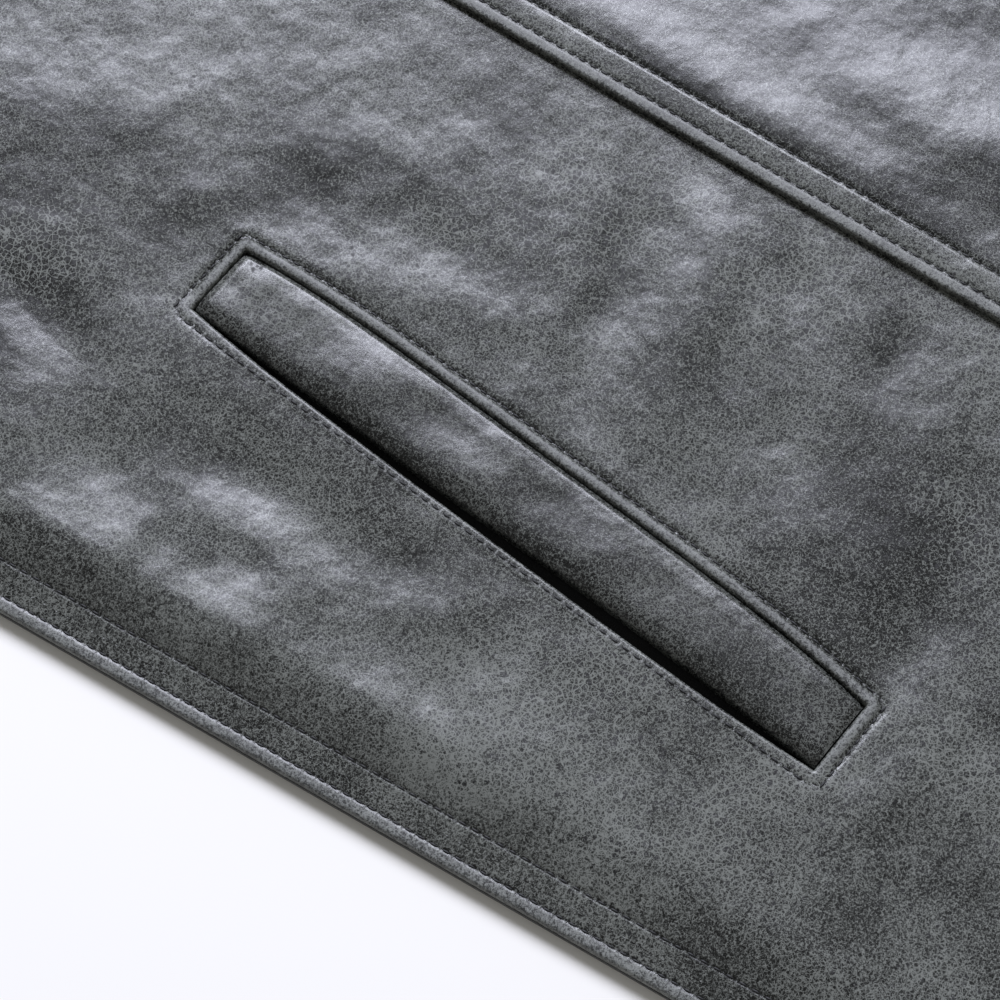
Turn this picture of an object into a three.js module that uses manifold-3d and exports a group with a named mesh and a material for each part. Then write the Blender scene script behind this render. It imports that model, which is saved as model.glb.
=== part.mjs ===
// A leather vest laid flat on its back: one back panel, and on each side a side front with a single-welt
// hand pocket and a centre front lapped over it, closed by four snaps under a V neck.
// Millimetres. +X is to the viewer's right, +Y towards the neck and +Z up from the surface it lies on.
// The origin is the middle of the vest's footprint. "own" coordinates are measured outward from the centre
// front on either half, so a half is drawn once and mirrored by its side, -1 or 1.
import * as THREE from "three";
import { mergeVertices } from "three/addons/utils/BufferGeometryUtils.js";
import Module from "manifold-3d";

const LENGTH = 640; // hem to the highest point of the shoulder
const HALF_WIDTH = 265; // centre front to side seam
const HEM_Y = -LENGTH / 2;
const NECK_Y = LENGTH / 2;
const WALL = 1.6; // leather with its fused backing
const GAP = 0.3; // between pieces that touch
const LAP = 9; // seam allowance of a side front under its centre front
const LAP_RAMP = 8; // over which a centre front comes down off it
const OVERLAP = 20; // each centre front past the centre line
const OVERLAP_GAP = 0.5; // between the two centre fronts

const UNDERARM = { own: HALF_WIDTH, y: 65 };
const SHOULDER_TIP = { own: 205, y: 282 };
const NECK_POINT = { own: 90, y: NECK_Y };
const NECK_BREAK = { own: -OVERLAP, y: 85 }; // where the front edge turns into the V neck
const BACK_NECK_DROP = 22;
const ARMHOLE_PULL = { low: { own: 215, y: 70 }, high: { own: 178, y: 165 } };
const BACK_ARMHOLE_PULL = { low: { own: 228, y: 78 }, high: { own: 190, y: 170 } };

// The lapped front seam: nearly straight past the pocket, then curved out to the middle of the shoulder.
const SEAM = { own: 92.2, y: -151, lean: -0.053, bendStart: 40, bendEnd: 300.8, shoulderOwn: 148 };

const POCKET = { own: 187, y: -151, slant: THREE.MathUtils.degToRad(7.8) };
// The window is square at its ends, and its long sides bow out by the most at their middles.
const WINDOW = { length: 172, width: 18.6, corner: 1.2, cornerSteps: 3, seatBow: 2.7, mouthBow: 1.7 };
const RIM = { width: 2.8, height: 0.7, mouthHeight: 0.25, edgeHeight: 0.12, sink: 0.8 };
const WELT = { thickness: 3, crown: 1.1, foldDrop: 1.6, foldAt: -9, gape: 1.6, gapeAt: -38, gapeSpread: 46 };
const POCKET_BAG = { thickness: 1, mouthSide: 15, depth: 128, reach: 94, corner: 18 };

const SNAP = { radius: 7, height: 3, lip: 0.9, y: [66, -45, -156, -267] };

const REST = WALL + GAP; // underside of a front where it lies on the back
const PUFF = 3.8; // how far the fronts stand off the back away from the outline
const PUFF_FROM = 2;
const PUFF_REACH = 22;
const STIFF = { from: 3, to: 16 }; // folds die out towards a seam or an edge

// Soft ridges and troughs pressed into each front: place, half-lengths, turn in degrees and rise.
const FOLDS_RIGHT = [
  { own: 247, y: -70, along: 22, across: 8, turn: 0, rise: 1.3 },
  { own: 246, y: -112, along: 26, across: 8, turn: 2, rise: 1.1 },
  { own: 245, y: -155, along: 20, across: 9, turn: -2, rise: 1.2 },
  { own: 237, y: -179, along: 16, across: 9, turn: -55, rise: 1.0 },
  { own: 212, y: -97, along: 18, across: 8, turn: 2, rise: -1.4 },
  { own: 214, y: -128, along: 14, across: 7, turn: 0, rise: -0.7 },
  { own: 203, y: -38, along: 18, across: 7, turn: -14, rise: -1.0 },
  { own: 225, y: -70, along: 10, across: 7, turn: 0, rise: -0.7 },
  { own: 228, y: -46, along: 14, across: 8, turn: -60, rise: 0.6 },
  { own: 198, y: -62, along: 18, across: 10, turn: 20, rise: 0.5 },
  { own: 196, y: -112, along: 14, across: 9, turn: 0, rise: 0.4 },
  { own: 156, y: -106, along: 26, across: 7, turn: 15, rise: 0.35 },
  { own: 126, y: -160, along: 28, across: 8, turn: -72, rise: 1.3 },
  { own: 136, y: -143, along: 26, across: 7, turn: -75, rise: -1.1 },
  { own: 148, y: -74, along: 12, across: 7, turn: -20, rise: -0.4 },
  { own: 143, y: -102, along: 14, across: 6, turn: 0, rise: -0.5 },
  { own: 142, y: -192, along: 14, across: 7, turn: -50, rise: -0.7 },
  { own: 112, y: -177, along: 16, across: 6, turn: -60, rise: -0.6 },
  { own: 115, y: -204, along: 12, across: 5, turn: -80, rise: -0.5 },
  { own: 164, y: -208, along: 18, across: 9, turn: 15, rise: 0.4 },
  { own: 126, y: -221, along: 18, across: 7, turn: -70, rise: 0.7 },
  { own: 170, y: -238, along: 22, across: 8, turn: 90, rise: -0.8 },
  { own: 204, y: -251, along: 20, across: 7, turn: 88, rise: 0.7 },
  { own: 218, y: -160, along: 10, across: 6, turn: -70, rise: -0.5 },
  { own: 222, y: -198, along: 20, across: 8, turn: 0, rise: -0.5 },
  { own: 186, y: -26, along: 12, across: 8, turn: 0, rise: 0.4 },
  { own: 128, y: -92, along: 26, across: 9, turn: 10, rise: 0.25 },
  { own: 205, y: 48, along: 60, across: 17, turn: 58, rise: 1.6 },
  { own: 160, y: 96, along: 60, across: 18, turn: 30, rise: -1.4 },
  { own: 172, y: 196, along: 50, across: 15, turn: -12, rise: 1.2 },
  { own: 54, y: -214, along: 58, across: 16, turn: 18, rise: 1.2 },
  { own: 56, y: -70, along: 66, across: 15, turn: -16, rise: 1.3 },
  { own: 60, y: 60, along: 52, across: 16, turn: 24, rise: -1.1 },
  { own: 104, y: 214, along: 46, across: 15, turn: 20, rise: 1.1 },
];
const FOLDS_LEFT = [
  { own: 230, y: -96, along: 78, across: 15, turn: -6, rise: 1.5 },
  { own: 224, y: -236, along: 36, across: 15, turn: 18, rise: 1.2 },
  { own: 150, y: -82, along: 52, across: 16, turn: 54, rise: 1.4 },
  { own: 126, y: -152, along: 44, across: 14, turn: -26, rise: -1.3 },
  { own: 148, y: -250, along: 46, across: 17, turn: 64, rise: 1.4 },
  { own: 200, y: 38, along: 64, across: 16, turn: 50, rise: 1.6 },
  { own: 150, y: 82, along: 54, across: 17, turn: 22, rise: -1.3 },
  { own: 168, y: 184, along: 56, across: 14, turn: -8, rise: 1.3 },
  { own: 50, y: -232, along: 50, across: 16, turn: -20, rise: 1.2 },
  { own: 54, y: -104, along: 70, across: 15, turn: 12, rise: 1.2 },
  { own: 56, y: 44, along: 58, across: 15, turn: -22, rise: 1.2 },
  { own: 110, y: 226, along: 44, across: 14, turn: 14, rise: -1.0 },
];

const ROWS_BELOW = 32; // grid rows from the hem to the underarm
const ROWS_ABOVE = 16; // and from there to the shoulder
const ROWS_TURN_Y = 60;
const SIDE_COLUMNS = 20;
const CENTRE_COLUMNS = 7;
const RIM_STEP = 12;

const LEATHER_COLOUR = 0x54585a;
const WELT_COLOUR = 0x585c5e;
const BAG_COLOUR = 0x151617;
const SNAP_COLOUR = 0x8b8c88;

const { smoothstep, lerp, degToRad } = THREE.MathUtils;

// Plan curves, in own coordinates

function seamOwn(y) {
  const straight = SEAM.own + SEAM.lean * (y - SEAM.y);
  const straightEnd = SEAM.own + SEAM.lean * (SEAM.bendEnd - SEAM.y);
  return straight + (SEAM.shoulderOwn - straightEnd) * smoothstep(y, SEAM.bendStart, SEAM.bendEnd);
}

function point(place) {
  return new THREE.Vector2(place.own, place.y);
}

function armholeCurve(pull) {
  return new THREE.CubicBezierCurve(point(UNDERARM), point(pull.low), point(pull.high), point(SHOULDER_TIP));
}

function pathOf(...curves) {
  const path = new THREE.CurvePath();
  curves.forEach((curve) => path.add(curve));
  return path;
}

const rowsTurnSide = new THREE.Vector2(HALF_WIDTH, ROWS_TURN_Y);
const rowsTurnFront = new THREE.Vector2(-OVERLAP, ROWS_TURN_Y);
const sidePath = pathOf(new THREE.LineCurve(rowsTurnSide, point(UNDERARM)), armholeCurve(ARMHOLE_PULL));
const neckPath = pathOf(
  new THREE.LineCurve(rowsTurnFront, point(NECK_BREAK)),
  new THREE.LineCurve(point(NECK_BREAK), point(NECK_POINT)),
);

// Where each row of points ends: straight across up to ROWS_TURN_Y, then along the armhole, seam and neck.
function rowEnds() {
  const rows = [];
  for (let i = 0; i < ROWS_BELOW; i += 1) {
    const y = lerp(HEM_Y, ROWS_TURN_Y, i / ROWS_BELOW);
    rows.push({ side: new THREE.Vector2(HALF_WIDTH, y), seamY: y, front: new THREE.Vector2(-OVERLAP, y) });
  }
  for (let i = 0; i <= ROWS_ABOVE; i += 1) {
    const t = i / ROWS_ABOVE;
    const seamY = lerp(ROWS_TURN_Y, SEAM.bendEnd, t);
    rows.push({ side: sidePath.getPointAt(t), seamY, front: neckPath.getPointAt(t) });
  }
  return rows;
}

function seamPoint(y) {
  return new THREE.Vector2(seamOwn(y), y);
}

// The seam moved over by the lap towards the centre front, and up along the shoulder at its top.
function lapPoint(y) {
  const shoulderSlope = (NECK_POINT.y - SHOULDER_TIP.y) / (SHOULDER_TIP.own - NECK_POINT.own);
  const climb = shoulderSlope * smoothstep(y, ROWS_TURN_Y, SEAM.bendEnd);
  return seamPoint(y).add(new THREE.Vector2(-LAP, LAP * climb));
}

// Distances and heights

const neckCrossing = point(NECK_BREAK).lerp(point(NECK_POINT), OVERLAP / (OVERLAP + NECK_POINT.own));
const outline = [
  new THREE.Vector2(0, HEM_Y),
  new THREE.Vector2(HALF_WIDTH, HEM_Y),
  ...armholeCurve(ARMHOLE_PULL).getPoints(16),
  point(NECK_POINT),
  neckCrossing,
];
const seamLine = Array.from({ length: 33 }, (_, i) => seamPoint(lerp(HEM_Y, SEAM.bendEnd, i / 32)));

function distanceTo(line, own, y) {
  const place = new THREE.Vector3(own, y, 0);
  const nearest = new THREE.Vector3();
  let least = Infinity;
  for (let i = 1; i < line.length; i += 1) {
    const a = new THREE.Vector3(line[i - 1].x, line[i - 1].y, 0);
    const b = new THREE.Vector3(line[i].x, line[i].y, 0);
    new THREE.Line3(a, b).closestPointToPoint(place, true, nearest);
    least = Math.min(least, nearest.distanceTo(place));
  }
  return least;
}

function foldRise(folds, own, y) {
  let rise = 0;
  for (const fold of folds) {
    const turn = degToRad(fold.turn);
    const dx = own - fold.own;
    const dy = y - fold.y;
    const along = (dx * Math.sin(turn) + dy * Math.cos(turn)) / fold.along;
    const across = (dx * Math.cos(turn) - dy * Math.sin(turn)) / fold.across;
    rise += fold.rise * Math.exp(-along * along - across * across);
  }
  return rise;
}

// Underside of a half's leather where it lies in a single layer. It is level across the overlap, so that
// both halves agree there.
function underside(folds, own, y) {
  const toOutline = distanceTo(outline, Math.max(Math.abs(own), OVERLAP), y);
  const toSeam = Math.min(distanceTo(seamLine, own, y), Math.max(own - OVERLAP, 0));
  const loose =
    smoothstep(toOutline, STIFF.from, STIFF.to + 2) * smoothstep(toSeam, STIFF.from, STIFF.to);
  return REST + PUFF * smoothstep(toOutline, PUFF_FROM, PUFF_REACH) + foldRise(folds, own, y) * loose;
}

// Closed walls

// Rows of { own, y, under } joined into a wall of the given thickness, mirrored for side -1.
function wallGeometry(rows, side, thickness) {
  const count = rows[0].length;
  const positions = [];
  const addLayer = (lift) =>
    rows.forEach((row) => row.forEach((p) => positions.push(side * p.own, p.y, p.under + lift)));
  addLayer(thickness);
  addLayer(0);
  const layer = rows.length * count;
  const faces = [];
  const quad = (a, b, c, d) => faces.push(a, b, c, a, c, d);
  for (let i = 0; i + 1 < rows.length; i += 1) {
    for (let j = 0; j + 1 < count; j += 1) {
      const a = i * count + j;
      quad(a, a + 1, a + 1 + count, a + count);
      quad(layer + a, layer + a + count, layer + a + count + 1, layer + a + 1);
    }
  }
  const rim = [];
  for (let j = 0; j < count; j += 1) rim.push(j);
  for (let i = 1; i < rows.length; i += 1) rim.push(i * count + count - 1);
  for (let j = count - 2; j >= 0; j -= 1) rim.push((rows.length - 1) * count + j);
  for (let i = rows.length - 2; i > 0; i -= 1) rim.push(i * count);
  rim.forEach((a, k) => {
    const b = rim[(k + 1) % rim.length];
    quad(a, layer + a, layer + b, b);
  });
  if (side < 0) faces.reverse();
  return new THREE.BufferGeometry()
    .setAttribute("position", new THREE.Float32BufferAttribute(positions, 3))
    .setIndex(faces);
}

// Sections, each the same count of [x, y, z], joined into a closed bar.
function barGeometry(sections) {
  const count = sections[0].length;
  const faces = [];
  for (let i = 0; i + 1 < sections.length; i += 1) {
    for (let j = 0; j < count; j += 1) {
      const a = i * count + j;
      const b = i * count + ((j + 1) % count);
      faces.push(a, b, b + count, a, b + count, a + count);
    }
  }
  const last = (sections.length - 1) * count;
  for (let j = 1; j + 1 < count; j += 1) {
    faces.push(0, j + 1, j);
    faces.push(last, last + j, last + j + 1);
  }
  return new THREE.BufferGeometry()
    .setAttribute("position", new THREE.Float32BufferAttribute(sections.flat(2), 3))
    .setIndex(faces);
}

const wasm = await Module();
wasm.setup();

function solidOf(geometry) {
  const bare = new THREE.BufferGeometry().setAttribute("position", geometry.getAttribute("position"));
  if (geometry.index) bare.setIndex(geometry.index);
  const merged = mergeVertices(bare, 1e-3);
  const vertProperties = merged.attributes.position.array;
  const triVerts = new Uint32Array(merged.index.array);
  return new wasm.Manifold(new wasm.Mesh({ numProp: 3, vertProperties, triVerts }));
}

function geometryOf(solid) {
  const mesh = solid.getMesh();
  return new THREE.BufferGeometry()
    .setAttribute("position", new THREE.BufferAttribute(mesh.vertProperties, 3))
    .setIndex(new THREE.BufferAttribute(mesh.triVerts, 1));
}

// The pocket, in its own frame: s runs up along the welt and p from the side seam towards the centre front.

function pocketToOwn(s, p) {
  const sin = Math.sin(POCKET.slant);
  const cos = Math.cos(POCKET.slant);
  return { own: POCKET.own - s * sin - p * cos, y: POCKET.y + s * cos - p * sin };
}

function bowed(s) {
  return 1 - Math.min(1, Math.abs(s) / (WINDOW.length / 2 - WINDOW.corner)) ** 4;
}

// Places { s, p } round the window, counterclockwise from the foot of its seat side, moved out by an offset.
function aroundWindow(offset) {
  const straight = WINDOW.length / 2 - WINDOW.corner;
  const across = WINDOW.width / 2 - WINDOW.corner;
  const reach = WINDOW.corner + offset;
  const places = [];
  const run = (from, to, placeAt) => {
    const steps = Math.ceil(Math.abs(to - from) / RIM_STEP);
    for (let i = 0; i < steps; i += 1) places.push(placeAt(lerp(from, to, i / steps)));
  };
  const turn = (s, p, quarter) => {
    for (let i = 0; i < WINDOW.cornerSteps; i += 1) {
      const angle = (quarter + i / WINDOW.cornerSteps) * (Math.PI / 2);
      places.push({ s: s + reach * Math.sin(angle), p: p + reach * Math.cos(angle) });
    }
  };
  run(-straight, straight, (s) => ({ s, p: across + reach + WINDOW.seatBow * bowed(s) }));
  turn(straight, across, 0);
  run(across, -across, (p) => ({ s: straight + reach, p }));
  turn(straight, -across, 1);
  run(straight, -straight, (s) => ({ s, p: -across - reach - WINDOW.mouthBow * bowed(s) }));
  turn(-straight, -across, 2);
  run(-across, across, (p) => ({ s: -straight - reach, p }));
  turn(-straight, across, 3);
  return places;
}

// A flat plate with the outline given by places { s, p }.
function plateGeometry(places, side, depth) {
  const outlinePoints = places.map((place) => {
    const at = pocketToOwn(place.s, place.p);
    return new THREE.Vector2(side * at.own, at.y);
  });
  return new THREE.ExtrudeGeometry(new THREE.Shape(outlinePoints), { depth, bevelEnabled: false });
}

// The turned and stitched edge round the window, a low bead that follows the panel.
function windowRim(side, folds) {
  const shares = [0, 0.22, 0.78, 1];
  const lines = shares.map((share) => aroundWindow(share * RIM.width));
  const sections = lines[0].map((_, i) => {
    const spread = lines.map((line, k) => {
      const { s, p } = line[i];
      const place = pocketToOwn(s, p);
      const top = underside(folds, place.own, place.y) + WALL;
      const height = lerp(RIM.mouthHeight, RIM.height, smoothstep(p, -8, -2));
      const proud = k === 0 || k === 3 ? RIM.edgeHeight : height;
      return { x: side * place.own, y: place.y, top, proud };
    });
    const over = spread.map((p) => [p.x, p.y, p.top + p.proud]);
    const below = [spread[3], spread[0]].map((p) => [p.x, p.y, p.top - RIM.sink]);
    return [...over, ...below];
  });
  const ring = sections.flatMap((section, i) => {
    const next = sections[(i + 1) % sections.length];
    return section.flatMap((a, j) => {
      const k = (j + 1) % section.length;
      const quad = [a, section[k], next[k], a, next[k], next[j]];
      return side > 0 ? quad.reverse() : quad;
    });
  });
  const geometry = new THREE.BufferGeometry();
  geometry.setAttribute("position", new THREE.Float32BufferAttribute(ring.flat(), 3));
  return solidOf(geometry);
}

// The welt's fold stands back from the window's edge, the most below the middle, where the mouth gapes.
function foldPlace(s) {
  const share = (s - WELT.gapeAt) / WELT.gapeSpread;
  return WELT.foldAt + WELT.gape * Math.exp(-share * share);
}

// A folded strip filling the window, arched across and turned down at its fold.
function weltGeometry(side, folds) {
  const ends = WINDOW.length / 2 - GAP;
  const steps = 26;
  const crossPoints = 7;
  const sections = [];
  for (let i = 0; i <= steps; i += 1) {
    const atEnd = i === 0 || i === steps;
    const inner = lerp(-ends + WINDOW.corner, ends - WINDOW.corner, (i - 1) / (steps - 2));
    const s = atEnd ? ends * Math.sign(i - 1) : inner;
    const cornerInset = atEnd ? WINDOW.corner * 0.7 : 0;
    const fromEnd = Math.min(i, steps - i) / steps;
    const seatP = WINDOW.width / 2 + WINDOW.seatBow * bowed(s) - GAP - cornerInset;
    const foldP = foldPlace(s) + cornerInset;
    const top = [];
    const bottom = [];
    for (let j = 0; j < crossPoints; j += 1) {
      const share = j / (crossPoints - 1);
      const place = pocketToOwn(s, lerp(seatP, foldP, share));
      const arch = Math.sin(Math.PI * (0.12 + 0.88 * share)) * smoothstep(fromEnd, -0.06, 0.06);
      const drop = WELT.foldDrop * share ** 4;
      const z = underside(folds, place.own, place.y) + WALL + WELT.crown * arch - drop;
      top.push([side * place.own, place.y, z]);
      if (j % 3 === 0) bottom.push([side * place.own, place.y, z - WELT.thickness + drop / 2]);
    }
    const section = [...top, ...bottom.reverse()];
    sections.push(side > 0 ? section : section.reverse());
  }
  return barGeometry(sections);
}

function pocketBagGeometry(side) {
  const { mouthSide, depth, reach, corner, thickness } = POCKET_BAG;
  const bag = new THREE.Shape();
  bag.absarc(depth - corner, -reach + corner, corner, -Math.PI / 2, 0);
  bag.absarc(depth - corner, reach - corner, corner, 0, Math.PI / 2);
  bag.absarc(-mouthSide + corner, reach - corner, corner, Math.PI / 2, Math.PI);
  bag.absarc(-mouthSide + corner, -reach + corner, corner, Math.PI, 1.5 * Math.PI);
  const places = bag.getPoints(5).map((at) => ({ s: at.y, p: at.x }));
  return plateGeometry(places, side, thickness).translate(0, 0, REST);
}

// Panels

function backGeometry() {
  const armhole = armholeCurve(BACK_ARMHOLE_PULL).getPoints(22);
  const half = [new THREE.Vector2(HALF_WIDTH, HEM_Y), ...armhole, point(NECK_POINT)];
  const neck = new THREE.SplineCurve(
    [-1, -0.72, 0, 0.72, 1].map((share) => {
      const drop = BACK_NECK_DROP * (1 - share * share) ** 0.6;
      return new THREE.Vector2(-share * NECK_POINT.own, NECK_Y - drop);
    }),
  );
  const mirrored = half.map((p) => new THREE.Vector2(-p.x, p.y)).reverse();
  const around = [...half, ...neck.getPoints(20).slice(1, -1), ...mirrored];
  return new THREE.ExtrudeGeometry(new THREE.Shape(around), { depth: WALL, bevelEnabled: false });
}

function sideFrontGeometry(side, folds) {
  const rows = rowEnds().map((row) => {
    const seam = seamPoint(row.seamY);
    const places = [];
    for (let j = 0; j < SIDE_COLUMNS; j += 1) {
      places.push(row.side.clone().lerp(seam, j / (SIDE_COLUMNS - 1)));
    }
    places.push(lapPoint(row.seamY));
    return places.reverse().map((p) => ({ own: p.x, y: p.y, under: underside(folds, p.x, p.y) }));
  });
  const panel = solidOf(wallGeometry(rows, side, WALL));
  const window = solidOf(plateGeometry(aroundWindow(0), side, 20));
  return geometryOf(panel.add(windowRim(side, folds)).subtract(window));
}

// A centre front rides over the side front's allowance, and the left one over the right at the middle.
function centreFrontGeometry(side, folds, onTop) {
  const lapLift = WALL + GAP;
  const topLift = onTop ? WALL + OVERLAP_GAP : 0;
  const rows = rowEnds().map((row) => {
    const lap = lapPoint(row.seamY);
    const afterOverlap = Math.max((OVERLAP - row.front.x) / (lap.x - row.front.x), 0.14);
    const places = [row.front];
    for (let j = 0; j < CENTRE_COLUMNS; j += 1) {
      const share = lerp(afterOverlap, 1, j / (CENTRE_COLUMNS - 1));
      places.push(row.front.clone().lerp(lap, share));
    }
    places.push(seamPoint(row.seamY));
    return places.map((p, k) => {
      const onLap = k >= CENTRE_COLUMNS ? 1 : 1 - smoothstep(p.distanceTo(lap), 0, LAP_RAMP);
      const overlapping = 1 - smoothstep(p.x, OVERLAP, OVERLAP + 22);
      const lift = Math.max(lapLift * onLap, topLift * overlapping);
      return { own: p.x, y: p.y, under: underside(folds, p.x, p.y) + lift };
    });
  });
  return wallGeometry(rows, side, WALL);
}

function snapGeometry(y) {
  const profile = new THREE.Path();
  profile.moveTo(0, 0);
  profile.lineTo(SNAP.radius, 0);
  profile.lineTo(SNAP.radius, SNAP.lip);
  profile.quadraticCurveTo(SNAP.radius * 0.72, SNAP.height, 0, SNAP.height);
  const cap = new THREE.LatheGeometry(profile.getPoints(4), 24);
  const seat = underside(FOLDS_LEFT, 0, y) + 2 * WALL + OVERLAP_GAP;
  return cap.rotateX(Math.PI / 2).translate(0, y, seat + GAP);
}

// Assembly

function material(color, roughness, metalness = 0) {
  return new THREE.MeshStandardMaterial({ color, roughness, metalness });
}

const vest = new THREE.Group();

function addNode(name, geometry, finish) {
  const mesh = new THREE.Mesh(geometry, finish);
  mesh.name = name;
  vest.add(mesh);
}

const leather = material(LEATHER_COLOUR, 0.5);
addNode("back", backGeometry(), leather);
for (const half of [
  { name: "right", side: -1, folds: FOLDS_RIGHT },
  { name: "left", side: 1, folds: FOLDS_LEFT },
]) {
  addNode(`side_front_${half.name}`, sideFrontGeometry(half.side, half.folds), leather);
  addNode(
    `centre_front_${half.name}`,
    centreFrontGeometry(half.side, half.folds, half.name === "left"),
    leather,
  );
  addNode(`welt_${half.name}`, weltGeometry(half.side, half.folds), material(WELT_COLOUR, 0.42));
  addNode(`pocket_bag_${half.name}`, pocketBagGeometry(half.side), material(BAG_COLOUR, 0.9));
}
SNAP.y.forEach((y, i) => addNode(`snap_${i + 1}`, snapGeometry(y), material(SNAP_COLOUR, 0.35, 0.9)));

export default vest;
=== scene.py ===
"""A distressed leather vest laid flat on its back, dressed over its CAD frame.

Plan shapes are worked out in millimetres in "own" coordinates, which run outward from the centre front on
either half of the vest, so each piece is drawn once and mirrored by its side, -1 (wearer's right) or 1.
"""

from functools import partial
from math import radians

import bpy
import numpy as np
from mathutils import Euler, Matrix, Vector


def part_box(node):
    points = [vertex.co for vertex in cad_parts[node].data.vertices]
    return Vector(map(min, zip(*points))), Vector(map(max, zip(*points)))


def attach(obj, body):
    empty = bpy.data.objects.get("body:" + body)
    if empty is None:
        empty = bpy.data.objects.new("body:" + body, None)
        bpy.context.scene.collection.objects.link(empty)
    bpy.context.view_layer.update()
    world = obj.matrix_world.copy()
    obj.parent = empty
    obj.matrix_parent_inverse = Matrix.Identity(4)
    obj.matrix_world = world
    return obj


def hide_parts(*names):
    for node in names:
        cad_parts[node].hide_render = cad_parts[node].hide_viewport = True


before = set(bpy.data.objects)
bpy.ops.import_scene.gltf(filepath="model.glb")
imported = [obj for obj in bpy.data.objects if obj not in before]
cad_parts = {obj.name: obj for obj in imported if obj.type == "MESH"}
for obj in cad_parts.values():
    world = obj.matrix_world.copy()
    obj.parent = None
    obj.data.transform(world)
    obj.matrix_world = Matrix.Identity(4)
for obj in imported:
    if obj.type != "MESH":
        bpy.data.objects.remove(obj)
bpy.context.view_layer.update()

# Back panel: one width of leather from hem to shoulders, which carries everything else. Its flesh side is
# uppermost, so it shows in the neck and the armholes, where its edge is turned and stitched down.

MM = 1000  # millimetres in a metre
HALVES = (("right", -1), ("left", 1))
HALF_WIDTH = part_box("back")[1][0] * MM
HEM_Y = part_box("back")[0][1] * MM
NECK_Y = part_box("back")[1][1] * MM
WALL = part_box("back")[1][2] * MM
UNDERARM = (HALF_WIDTH, 65)
SHOULDER_TIP = (205, 282)
NECK_POINT = (90, NECK_Y)
BACK_NECK_DROP = 22
BACK_ARMHOLE_PULL = ((228, 78), (190, 170))
BACK_COLUMNS, BACK_ROWS = 130, 190
SHOULDER_SHARE = 0.24  # of the back's columns, on each shoulder
SHOULDER_RUN, NECK_RUN = 121.1, 190  # lengths along the back's top
BACK_SINK, BACK_THREAD_SINK = 0.04, 0.05
EDGE_ROWS = (3.0, 9.8)  # two rows of stitching, from an outer edge
LIP_HEIGHT, PAD_HEIGHT, GROOVE_DEPTHS, EDGE_RADIUS = 0.04, 0.12, (0.26, 0.36), 0.7
EDGE_STEPS = np.array(  # columns of a grid, from an outer edge
    [0, 0.06, 0.22, 0.5, 0.9, 1.4, 1.9, 2.3, 2.6, 2.85, 3.1, 3.4]
    + [3.8, 4.5, 5.5, 6.5, 7.5, 8.4, 9, 9.4, 9.8, 10.2, 10.7, 11.5]
)
STITCH_PITCH = 3.07
STITCH_LENGTH = 2.3
THREAD_RADIUS = 0.3
THREAD_SIDES = 6
THREAD_RINGS = np.array([-0.8, -0.35, 0.35, 0.8])  # shares of half a stitch
TIP_DEPTH = 0.4
WINDING_CELLS = 200  # first cells of a grid, which tell how it is wound
THREAD_COLOUR = (0.006, 0.0065, 0.007, 1)
SUEDE_COLOUR = (0.030, 0.031, 0.031, 1)


def smoothstep(x, low, high):
    """0 below low and 1 above high, with the cubic 3 t squared minus 2 t cubed between them."""
    t = np.clip((x - low) / (high - low), 0, 1)
    return t * t * (3 - 2 * t)


def hump(x, middle, reach):
    """A bell: e to the minus square of the distance from the middle over the reach."""
    return np.exp(-(((x - middle) / reach) ** 2))


def bezier(start, pull_a, pull_b, end, steps):
    """A cubic through its two ends: its four places weighted by the cubic Bernstein shares."""
    t = np.linspace(0, 1, steps + 1)[:, None]
    a, b, c, d = (np.array(place, float) for place in (start, pull_a, pull_b, end))
    return (1 - t) ** 3 * a + 3 * t * (1 - t) ** 2 * b + 3 * t * t * (1 - t) * c + t**3 * d


def lengths(line):
    """Length along a line of points up to each of them."""
    return np.concatenate([[0], np.cumsum(np.hypot(*np.diff(line, axis=0).T))])


def at_length(line, run):
    """The place on a line at each length along it."""
    total = lengths(line)
    return np.stack([np.interp(run, total, line[:, 0]), np.interp(run, total, line[:, 1])], -1)


def from_line(line, own, y):
    """Distance of each place from a line of points, and how far along the line its nearest point is."""
    least = np.full(np.shape(own), np.inf)
    run = np.zeros(np.shape(own))
    for (ax, ay), (bx, by), before in zip(line[:-1], line[1:], lengths(line)):
        length = np.hypot(bx - ax, by - ay)
        t = np.clip(((own - ax) * (bx - ax) + (y - ay) * (by - ay)) / length**2, 0, 1)
        away = np.hypot(own - ax - t * (bx - ax), y - ay - t * (by - ay))
        run = np.where(away < least, before + t * length, run)
        least = np.minimum(least, away)
    return least, run


def rounded_drop(distance, radius):
    """How far a rounded edge falls below its top: a quarter circle of the given radius."""
    inside = np.clip(radius - distance, 0, radius)
    return radius - np.sqrt(np.maximum(radius**2 - inside**2, 0))


def edge_relief(distance, rows=EDGE_ROWS):
    """A turned, stitched edge: rounded, with a low lip, a groove at each row and a pad between the rows."""
    lip = LIP_HEIGHT * hump(distance, 1.35, 0.85)
    first_groove = GROOVE_DEPTHS[0] * hump(distance, rows[0], 0.42)
    second_groove = GROOVE_DEPTHS[1] * hump(distance, rows[1], 0.45)
    pad = PAD_HEIGHT * hump(distance, (rows[0] + rows[1]) / 2, 2.0)
    return lip + pad - first_groove - second_groove - rounded_drop(distance, EDGE_RADIUS)


def nearest_row(offsets, runs):
    """Of several stitch rows, the offset from the nearest one and the run along it."""
    offsets = np.stack(offsets)
    runs = np.stack([np.broadcast_to(run, offsets.shape[1:]) for run in runs])
    pick = np.abs(offsets).argmin(0)[None]
    return np.take_along_axis(offsets, pick, 0)[0], np.take_along_axis(runs, pick, 0)[0]


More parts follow.
